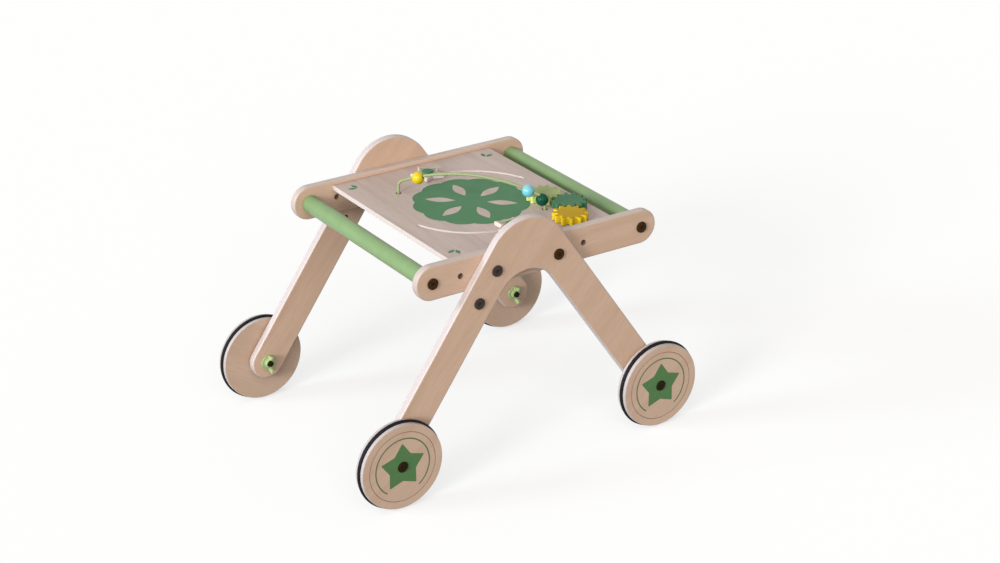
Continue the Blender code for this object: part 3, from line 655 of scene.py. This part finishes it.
def axles():
    bolt_low, bolt_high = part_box("axle_bolt_front_left")
    length = bolt_high.y - bolt_low.y - AXLE_HEAD_HEIGHT
    dome = [(AXLE_HEAD_RADIUS * math.sin(math.radians(a)), AXLE_HEAD_HEIGHT * math.cos(math.radians(a)))
            for a in range(0, 85, 6)]
    under = [(AXLE_HEAD_RADIUS, AXLE_HEAD_LAND), (AXLE_HEAD_RADIUS - AXLE_HEAD_ROUND, 0)]
    shank = [(AXLE_RADIUS, 0), (AXLE_RADIUS, BOLT_TIP - length), (AXLE_RADIUS - BOLT_TIP, -length),
             (0, -length)]
    bolt = turned(dome + under + shank, 48)
    spacer_low, spacer_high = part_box("wheel_spacer_front_left")
    half = (spacer_high.y - spacer_low.y) / 2
    spacer_radius = (spacer_high.z - spacer_low.z) / 2
    bore = AXLE_RADIUS + FIT
    section = [(bore, half), (spacer_radius, half), (spacer_radius, -half), (bore, -half)]
    spacer = turned(rounded(section, [SPACER_EDGE] * 4, 3), 48, ring=True)
    nut = wing_nut()
    for corner, side in CORNERS:
        axle = middle("wheel_" + corner)
        head = far_side("axle_bolt_" + corner, 1, side) - side * AXLE_HEAD_HEIGHT
        stand_in("axle_bolt_" + corner, bolt, axle_steel,
                 Matrix.Translation((axle.x, head, axle.z)) @ outwards(side))
        stand_in("wheel_spacer_" + corner, spacer, white_nylon,
                 Matrix.Translation(middle("wheel_spacer_" + corner)) @ outwards(side))
        seat = far_side("wing_nut_" + corner, 1, side)
        stand_in("wing_nut_" + corner, nut, green_nylon,
                 Matrix.Translation((axle.x, seat, axle.z)) @ outwards(-side))


def wing_nut():
    """A hub on a flange with two upright wings, moulded in one, with a bore right through."""
    soft = NUT_ROUND
    hub_corners = [(0, NUT_HUB_HEIGHT), (NUT_HUB_RADIUS, NUT_HUB_HEIGHT),
                   (NUT_HUB_RADIUS, NUT_FLANGE_THICKNESS), (NUT_FLANGE_RADIUS, NUT_FLANGE_THICKNESS),
                   (NUT_FLANGE_RADIUS, 0), (0, 0)]
    hub = turned(soft_profile(hub_corners, [soft, soft, soft, soft, soft / 2, soft]), 48)
    tip = WING_SPAN / 2
    corners = [(NUT_FLANGE_RADIUS - soft, soft), (tip, WING_HEIGHT * WING_SHOULDER_SHARE),
               (tip, WING_HEIGHT), (tip - WING_TIP_WIDTH, WING_HEIGHT),
               (WING_VALLEY / 2, NUT_HUB_HEIGHT - 2 * soft)]
    corners += [(-x, y) for x, y in reversed(corners)]
    radii = [soft, WING_SHOULDER_ROUND, WING_TIP_ROUND, WING_TIP_ROUND, soft]
    wings = plate(rounded(corners, radii + radii[::-1]), WING_THICKNESS, WING_EDGE)
    wings.transform(Matrix.Rotation(QUARTER, 4, "Z") @ Matrix.Rotation(QUARTER, 4, "X"))
    bore = AXLE_RADIUS + FIT
    mouth = bore + NUT_COUNTERSINK
    drill = turned([(0, -soft), (bore, -soft), (bore, NUT_HUB_HEIGHT - NUT_COUNTERSINK),
                    (mouth, NUT_HUB_HEIGHT), (mouth, WING_HEIGHT), (0, WING_HEIGHT)], 32)
    return combined(combined(hub, wings, "UNION"), drill)


# Frame

def leg_frames():
    front, rear = (middle("wheel_" + end + "_left") for end in ENDS)
    apex = Vector((0, middle("cross_bar_front").z))
    half = LEG_WIDTH / 2
    drop = Vector((rear.x, rear.z)) - apex
    normal = math.degrees(math.atan2(drop.y, drop.x) + math.acos((APEX_RADIUS - half) / drop.length))
    fork_drop = (LEG_WIDTH + FORK_RADIUS - APEX_RADIUS) / math.sin(math.radians(normal))
    outline = arc((rear.x, rear.z), half, normal - 180, normal, 48)
    outline += arc(apex, APEX_RADIUS, normal, 180 - normal, 48)
    outline += arc((front.x, front.z), half, 180 - normal, 360 - normal, 48)
    outline += arc((0, apex.y - fork_drop), FORK_RADIUS, 180 - normal, normal, 40)
    bolts = [middle(f"leg_bolt_{name}_left") for name in ("front", "rear", "lower")]
    holes = [((axle.x, axle.z), AXLE_RADIUS + FIT) for axle in (front, rear)]
    holes += [((bolt.x, bolt.z), BOLT_RADIUS + FIT) for bolt in bolts]
    low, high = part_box("leg_frame_left")
    mesh = drilled(plate(outline, high.y - low.y, LEG_EDGE), holes)
    for side_name in SIDES:
        node = "leg_frame_" + side_name
        stand_in(node, mesh, leg_plywood, Matrix.Translation((0, middle(node).y, 0)) @ UPRIGHT,
                 walls=hole_wall_shade)


def side_rails():
    low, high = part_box("side_rail_left")
    end_radius = (high.z - low.z) / 2
    bars = [middle("cross_bar_" + end) for end in ENDS]
    height = bars[0].z
    outline = arc((bars[1].x, height), end_radius, -90, 90, 48)
    outline += arc((bars[0].x, height), end_radius, 90, 270, 48)
    sleeves = [middle(f"leg_nut_{end}_left").x for end in ENDS]
    spares = [sign * SPARE_HOLE_SPACING / 2 for sign in (-1, 1)]
    holes = [((x, height), SLEEVE_RADIUS + FIT) for x in (*sleeves, *spares)]
    holes += [((bar.x, height), BOLT_RADIUS + FIT) for bar in bars]
    rail = drilled(plate(outline, high.y - low.y, RAIL_EDGE), holes)
    board_low, board_high = (corner + sign * Vector((FIT, FIT, FIT))
                             for corner, sign in zip(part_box("activity_board"), (-1, 1)))
    for side_name in SIDES:
        node = "side_rail_" + side_name
        place = Matrix.Translation((0, middle(node).y, 0)) @ UPRIGHT
        shape = bmesh.new()
        bmesh.ops.create_cube(shape, size=1.0)
        groove = welded(shape)
        groove.transform(place.inverted() @ Matrix.Translation((board_low + board_high) / 2)
                         @ Matrix.Diagonal((*(board_high - board_low), 1)))
        stand_in(node, combined(rail.copy(), groove), plywood, place, walls=hole_wall_shade)


def cross_bars():
    low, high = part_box("cross_bar_front")
    radius = (high.z - low.z) / 2
    end = (high.y - low.y) / 2
    bore = BOLT_RADIUS + FIT
    rim = arc((radius - BAR_EDGE, end - BAR_EDGE), BAR_EDGE, 90, 0, 5)
    floor = end - BAR_BORE_DEPTH
    half = [(0, floor), (bore, floor), (bore, end)] + rim
    mesh = turned(half + [(r, -z) for r, z in reversed(half)], 96)
    for name in ENDS:
        node = "cross_bar_" + name
        stand_in(node, mesh, bar_paint, Matrix.Translation(middle(node)) @ UPRIGHT)


# Fasteners

def bolt_mesh(length):
    """A flat-headed bolt with a hexagon socket, its head seated at local zero."""
    edge = BOLT_HEAD_HEIGHT / 3
    head = arc((BOLT_HEAD_RADIUS - edge, BOLT_HEAD_HEIGHT - edge), edge, 90, 0, 5)
    shank = [(BOLT_HEAD_RADIUS, 0), (BOLT_RADIUS, 0), (BOLT_RADIUS, BOLT_TIP - length),
             (BOLT_RADIUS - BOLT_TIP, -length), (0, -length)]
    bolt = turned([(0, BOLT_HEAD_HEIGHT)] + head + shank, 48)
    socket = turned([(0, -SOCKET_DEPTH), (SOCKET_RADIUS, -SOCKET_DEPTH), (SOCKET_RADIUS, SOCKET_OVERCUT),
                     (0, SOCKET_OVERCUT)], 6)
    socket.transform(Matrix.Translation((0, 0, BOLT_HEAD_HEIGHT)))
    return combined(bolt, socket)


def head_place(node, side, height):
    """A bolt's place: its head's height in from the node's far side, with local +Z out of the head."""
    centre = middle(node)
    seat = far_side(node, 1, side) - side * height
    return Matrix.Translation((centre.x, seat, centre.z)) @ outwards(side)


def bolts():
    finishes = {"leg_bolt_front": grey_steel, "leg_bolt_lower": grey_steel, "leg_bolt_rear": black_steel,
                "bar_bolt_front": black_steel, "bar_bolt_rear": black_steel}
    for name, finish in finishes.items():
        low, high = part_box(name + "_left")
        mesh = bolt_mesh(high.y - low.y - BOLT_HEAD_HEIGHT)
        for side_name, side in SIDES.items():
            node = f"{name}_{side_name}"
            stand_in(node, mesh, finish, head_place(node, side, BOLT_HEAD_HEIGHT))

    low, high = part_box("leg_nut_front_left")
    edge = SLEEVE_HEAD_HEIGHT / 3
    sleeve = SLEEVE_HEAD_HEIGHT - (high.y - low.y)
    floor = SLEEVE_HEAD_HEIGHT / 2
    bore = BOLT_RADIUS + FIT
    head = arc((SLEEVE_HEAD_RADIUS - edge, SLEEVE_HEAD_HEIGHT - edge), edge, 90, 0, 5)
    nut = turned([(0, SLEEVE_HEAD_HEIGHT)] + head
                 + [(SLEEVE_HEAD_RADIUS, 0), (SLEEVE_RADIUS, 0), (SLEEVE_RADIUS, sleeve), (bore, sleeve),
                    (bore, floor), (0, floor)], 48)
    for corner, side in CORNERS:
        node = "leg_nut_" + corner
        stand_in(node, nut, black_steel, head_place(node, -side, SLEEVE_HEAD_HEIGHT))


def cap_mesh(node):
    """A push-on cap, open at the top, with a soft outer edge."""
    low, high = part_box(node)
    outer = (high.x - low.x) / 2
    depth = high.z - low.z
    bore = outer - CAP_WALL
    floor = CAP_FLOOR - depth
    rim = arc((outer - CAP_EDGE, -CAP_EDGE), CAP_EDGE, 90, 0, 4)
    foot = arc((outer - CAP_EDGE, CAP_EDGE - depth), CAP_EDGE, 0, -90, 4)
    return turned([(0, floor), (bore, floor), (bore, 0)] + rim + foot + [(0, -depth)], 32)


def cap(node):
    centre = middle(node)
    stand_in(node, cap_mesh(node), white_nylon,
             Matrix.Translation((centre.x, centre.y, far_side(node, 2, 1))))


# Activity board and what is on it

BOARD_MIDDLE = middle("activity_board")
BOARD_TOP = far_side("activity_board", 2, 1)


def slot_outline(start):
    half = SLOT_WIDTH / 2
    end = start + SLOT_SWEEP
    outline = arc((0, 0), SLOT_RADIUS + half, start, end, 60)
    outline += arc(polar(SLOT_RADIUS, end), half, end, end + 180, 12)[1:-1]
    outline += arc((0, 0), SLOT_RADIUS - half, end, start, 60)
    return outline + arc(polar(SLOT_RADIUS, start), half, start + 180, start + 360, 12)[1:-1]


def activity_board():
    low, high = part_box("activity_board")
    size = high - low
    outline = rounded([(x * size.x / 2, y * size.y / 2) for x, y in ((1, 1), (-1, 1), (-1, -1), (1, -1))],
                      [BOARD_CORNER] * 4)
    slots = [slot_outline(SLOT_START), slot_outline(SLOT_START + 180)]
    # The wide gap round each wire foot shows a ring of the painted shade on its hole walls.
    foot_hole = WIRE_DIAMETER / 2 + WIRE_HOLE_GAP
    holes = [((middle("wire_cap_" + end) - BOARD_MIDDLE).xy, foot_hole) for end in ENDS]
    for name in ("yellow", "dark_green", "light_green"):
        holes.append(((middle("gear_cap_" + name) - BOARD_MIDDLE).xy, GEAR_STUB_RADIUS + FIT))
    stand_in("activity_board", drilled(plate(outline, size.z, BOARD_EDGE, slots), holes), board_plywood,
             Matrix.Translation(BOARD_MIDDLE), walls=hole_wall_shade)


def slider(name):
    """A star with its print, its knob with the stem through the slot, and the cap under the board."""
    knob_node = "slider_knob_" + name
    axis = middle(knob_node)
    offset = (axis - BOARD_MIDDLE).xy
    turn = Matrix.Rotation(math.atan2(offset.y, offset.x), 4, "Z")
    star_node = "slider_star_" + name
    low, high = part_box(star_node)
    rounds = (SLIDER_TIP_ROUND, SLIDER_NOTCH_ROUND)
    hole = circle((0, 0), SLIDER_STEM + FIT)
    star = plate(star_outline(SLIDER_TIP, SLIDER_NOTCH, *rounds), high.z - low.z, SLIDER_EDGE, [hole])
    stand_in(star_node, star, slider_wood,
             Matrix.Translation((axis.x, axis.y, (low.z + high.z) / 2)) @ turn)
    ink = printed(star_outline(SLIDER_INSET * SLIDER_TIP, SLIDER_INSET * SLIDER_NOTCH, *rounds), [hole])
    piece("slider_print_" + name, ink, slider_ink, BODY_OF[star_node],
          Matrix.Translation((axis.x, axis.y, high.z)) @ turn)

    low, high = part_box(knob_node)
    top = high.z - low.z
    under = top - SLIDER_KNOB_HEIGHT
    soft = SLIDER_KNOB_HEIGHT / 3
    crown = arc((SLIDER_KNOB_RADIUS - soft, top - soft), soft, 90, 0, 8)
    rim = [(SLIDER_KNOB_RADIUS, under + SLIDER_KNOB_EDGE), (SLIDER_KNOB_RADIUS - SLIDER_KNOB_EDGE, under)]
    stem = [(SLIDER_STEM, under), (SLIDER_STEM, STEM_CHAMFER), (SLIDER_STEM - STEM_CHAMFER, 0), (0, 0)]
    knob = turned([(0, top)] + crown + rim + stem, 48)
    stand_in(knob_node, knob, gear_dark_paint, Matrix.Translation((axis.x, axis.y, low.z)))
    cap("slider_cap_" + name)


def gear_outline():
    """Rounded teeth as one wave round the pitch circle."""
    points = []
    steps = GEAR_TEETH * 32
    for i in range(steps):
        turn = 2 * math.pi * i / steps
        wave = math.tanh(GEAR_SQUARENESS * math.cos(GEAR_TEETH * turn)) / math.tanh(GEAR_SQUARENESS)
        radius = GEAR_PITCH_RADIUS - GEAR_MESH_GAP + wave * GEAR_TOOTH_HEIGHT / 2
        points.append((radius * math.cos(turn), radius * math.sin(turn)))
    return points


def gears():
    """Three meshing gears: the outer two take the phase that meshes with the dark green one."""
    centres = {name: middle("gear_cap_" + name).xy for name in ("dark_green", "yellow", "light_green")}
    finishes = {"dark_green": gear_dark_paint, "yellow": yellow_paint, "light_green": light_green_paint}
    low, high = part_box("gear_yellow")
    teeth = plate(gear_outline(), GEAR_THICKNESS, GEAR_EDGE)
    stub_end = low.z - high.z + GEAR_THICKNESS / 2
    stub = turned([(0, 0), (GEAR_STUB_RADIUS, 0), (GEAR_STUB_RADIUS, stub_end + STEM_CHAMFER),
                   (GEAR_STUB_RADIUS - STEM_CHAMFER, stub_end), (0, stub_end)], 32)
    shape = combined(teeth, stub, "UNION")
    for name, centre in centres.items():
        phase = math.radians(MIDDLE_GEAR_PHASE)
        if name != "dark_green":
            away = centre - centres["dark_green"]
            phase = 2 * math.atan2(away.y, away.x) + math.pi / GEAR_TEETH - phase
        place = Matrix.Translation((*centre, high.z - GEAR_THICKNESS / 2))
        stand_in("gear_" + name, shape, finishes[name], place @ Matrix.Rotation(phase, 4, "Z"))
        cap("gear_cap_" + name)


def wire_half(end_x, bend_radius):
    """Half of the bead wire as (along, up) points: its foot, the bend and the low arc to its middle."""
    bend_x = end_x - bend_radius
    reach = WIRE_ARC_RADIUS - bend_radius
    lean = math.degrees(math.asin(bend_x / reach))
    arc_height = WIRE_RISE - WIRE_ARC_RADIUS
    bend = (bend_x, arc_height + math.sqrt(reach ** 2 - bend_x ** 2))
    foot = far_side("bead_wire", 2, -1) - BOARD_TOP
    half = [(end_x, foot)] + arc(bend, bend_radius, 0, 90 - lean, 16)
    return half + arc((0, arc_height), WIRE_ARC_RADIUS, 90 - lean, 90, 40)[1:]


def wire_path():
    """The bead wire's points in place, from its rear foot to its front one."""
    front, rear = (middle("wire_cap_" + end).xy for end in ENDS)
    along = (rear - front).normalized()
    front_half, rear_half = (wire_half((rear - front).length / 2, WIRE_BENDS[end]) for end in ENDS)
    flat = rear_half + [(-x, y) for x, y in reversed(front_half[:-1])]
    return [Vector((*((front + rear) / 2 + along * x), BOARD_TOP + y)) for x, y in flat]


def wire_and_beads():
    path = wire_path()
    stand_in("bead_wire", tube(path, WIRE_DIAMETER / 2), wire_coat, Matrix(), flat_faces=False)
    for end in ENDS:
        cap("wire_cap_" + end)
    flat = math.degrees(math.asin(BEAD_BORE_RADIUS / BEAD_RADIUS)) + BEAD_MOUTH_MARGIN
    mouth = polar(BEAD_RADIUS, 90 - flat)
    profile = arc((0, 0), BEAD_RADIUS, 90 - flat, flat - 90, 40)
    lip = [(BEAD_BORE_RADIUS + BEAD_LIP_WIDTH, mouth.y - BEAD_LIP_DROP),
           (BEAD_BORE_RADIUS, mouth.y - BEAD_LIP_DEPTH)]
    ball = turned(lip[::-1] + profile + [(r, -z) for r, z in lip], 64, ring=True)
    finishes = {"yellow": bead_yellow_paint, "blue": blue_paint, "green": dark_green_paint}
    for name, finish in finishes.items():
        node = "bead_" + name
        centre = middle(node)
        nearest = min(range(1, len(path) - 1), key=lambda i: (path[i] - centre).length)
        tangent = path[nearest + 1] - path[nearest - 1]
        place = Matrix.Translation(centre) @ tangent.to_track_quat("Z", "Y").to_matrix().to_4x4()
        stand_in(node, ball, finish, place, flat_faces=False)


# Print on the board

def leaf(start, end, half_width, degrees, steps=14):
    """A pointed oval along a direction, between two distances from the centre."""
    points = []
    for sign in (1, -1):
        for i in range(steps):
            t = i / steps
            along = start + (end - start) * t if sign > 0 else end - (end - start) * t
            across = sign * half_width * math.sin(math.pi * t)
            points.append(Matrix.Rotation(math.radians(degrees), 2) @ Vector((along, across)))
    return points


def board_print():
    """A scalloped rosette with leaves left open in it, and a sprig of two leaves in three corners."""
    place = Matrix.Translation((BOARD_MIDDLE.x, BOARD_MIDDLE.y, BOARD_TOP))
    scallops = []
    for i in range(ROSETTE_STEPS):
        turn = 2 * math.pi * i / ROSETTE_STEPS
        radius = ROSETTE_RADIUS + ROSETTE_SCALLOP * abs(math.sin(ROSETTE_SCALLOPS / 2 * turn))
        scallops.append(polar(radius, math.degrees(turn)))
    leaves = [leaf(*ROSETTE_LEAF, 360 / ROSETTE_LEAVES * i + ROSETTE_TURN) for i in range(ROSETTE_LEAVES)]
    piece("print_rosette", printed(scallops, leaves), print_ink, "frame", place)
    sprig = [leaf(*SPRIG_LEAF, degrees) for degrees in SPRIG_ANGLES]
    for number, (x, y) in enumerate(SPRIG_PLACES):
        turn = Matrix.Rotation(math.atan2(y, x) - QUARTER, 4, "Z")
        corner = place @ Matrix.Translation((x, y, 0)) @ turn
        for side_name, outline in zip(SIDES, sprig):
            piece(f"print_leaf_{number}_{side_name}", printed(outline), print_ink, "frame", corner)


wheels()
axles()
leg_frames()
side_rails()
cross_bars()
bolts()
activity_board()
board_print()
for slider_name in SIDES:
    slider(slider_name)
gears()
wire_and_beads()


# Floor, light and camera

SKY_COLOUR = (1.0, 0.955, 0.89, 1)
SKY_STRENGTH = 0.40
# Colour, strength, and in degrees azimuth, elevation and spread
LAMPS = {"left_key": ((1.0, 0.985, 0.96), 2.4, 202, 20, 18),
         "left_back": ((0.75, 0.90, 1.0), 1.7, 162, 20, 18),
         "left_low": ((1.0, 0.97, 0.97), 0.40, 183, 6, 20),
         "front_fill": ((1.0, 0.97, 0.93), 1.2, 240, 35, 50)}
FLOOR_SIZE = 8
FLOOR_GAP = 0.0002
FLOOR_SHADE = 0.35
FLOOR_GLOW = 0.634
FLOOR_BOUNCE = 0.18
CAMERA_LENS = 86.31
CAMERA_SENSOR = 36
CAMERA_PLACE = Vector((-1.65596, -2.61017, 1.62749))
CAMERA_TARGET = Vector((0.057863, -0.026860, 0.200153))


def seen_rays(tree):
    """1 for rays that show the background itself: from the camera, off gloss or through glass."""
    rays = tree.nodes.new("ShaderNodeLightPath")
    total = rays.outputs["Is Camera Ray"]
    for kind in ("Is Glossy Ray", "Is Transmission Ray"):
        either = tree.nodes.new("ShaderNodeMath")
        either.operation = "MAXIMUM"
        tree.links.new(total, either.inputs[0])
        tree.links.new(rays.outputs[kind], either.inputs[1])
        total = either.outputs[0]
    return total


def finish_tree(tree, lit, seen, kind):
    """Ends a tree with one shader for the light that it gives and another for how it looks."""
    choice = tree.nodes.new("ShaderNodeMixShader")
    tree.links.new(seen_rays(tree), choice.inputs["Fac"])
    tree.links.new(lit.outputs[0], choice.inputs[1])
    tree.links.new(seen.outputs[0], choice.inputs[2])
    output = tree.nodes.new(kind)
    tree.links.new(choice.outputs[0], output.inputs["Surface"])


def backdrop():
    """A warm sky for the light, which looks white."""
    world = bpy.data.worlds.new("studio")
    bpy.context.scene.world = world
    world.use_nodes = True
    tree = world.node_tree
    tree.nodes.clear()
    sky = tree.nodes.new("ShaderNodeBackground")
    sky.inputs["Color"].default_value = SKY_COLOUR
    sky.inputs["Strength"].default_value = SKY_STRENGTH
    white = tree.nodes.new("ShaderNodeBackground")
    white.inputs["Color"].default_value = (1, 1, 1, 1)
    finish_tree(tree, sky, white, "ShaderNodeOutputWorld")


def lamps():
    for name, (colour, strength, azimuth, elevation, spread) in LAMPS.items():
        light = bpy.data.lights.new(name, "SUN")
        light.color = colour
        light.energy = strength
        light.angle = math.radians(spread)
        lamp = link(name, light)
        turn = Matrix.Rotation(math.radians(azimuth), 3, "Z")
        tilt = Matrix.Rotation(math.radians(-elevation), 3, "Y")
        lamp.rotation_euler = (turn @ tilt @ Vector((-1, 0, 0))).to_track_quat("-Z", "Y").to_euler()


def studio_floor():
    """A white floor that keeps the walker's soft shadow and gives back little light."""
    shape = bmesh.new()
    bmesh.ops.create_grid(shape, x_segments=1, y_segments=1, size=FLOOR_SIZE)
    ground = link("floor", welded(shape))
    ground.location.z = CAD_LOW.z - FLOOR_GAP
    material = bpy.data.materials.new("floor")
    material.use_nodes = True
    tree = material.node_tree
    tree.nodes.clear()
    paper, shaded = (tree.nodes.new("ShaderNodeBsdfDiffuse") for _ in range(2))
    paper.inputs["Color"].default_value = (FLOOR_BOUNCE, FLOOR_BOUNCE, FLOOR_BOUNCE, 1)
    shaded.inputs["Color"].default_value = (FLOOR_SHADE, FLOOR_SHADE, FLOOR_SHADE, 1)
    glow = tree.nodes.new("ShaderNodeEmission")
    glow.inputs["Strength"].default_value = FLOOR_GLOW
    shown = tree.nodes.new("ShaderNodeAddShader")
    tree.links.new(shaded.outputs[0], shown.inputs[0])
    tree.links.new(glow.outputs[0], shown.inputs[1])
    finish_tree(tree, paper, shown, "ShaderNodeOutputMaterial")
    ground.data.materials.append(material)


def camera():
    data = bpy.data.cameras.new("camera")
    data.lens = CAMERA_LENS
    data.sensor_width = CAMERA_SENSOR
    view = link("camera", data)
    view.location = CAMERA_PLACE
    view.rotation_euler = (CAMERA_TARGET - CAMERA_PLACE).to_track_quat("-Z", "Y").to_euler()
    bpy.context.scene.camera = view


bpy.context.scene.view_settings.view_transform = "Standard"
backdrop()
lamps()
studio_floor()
camera()
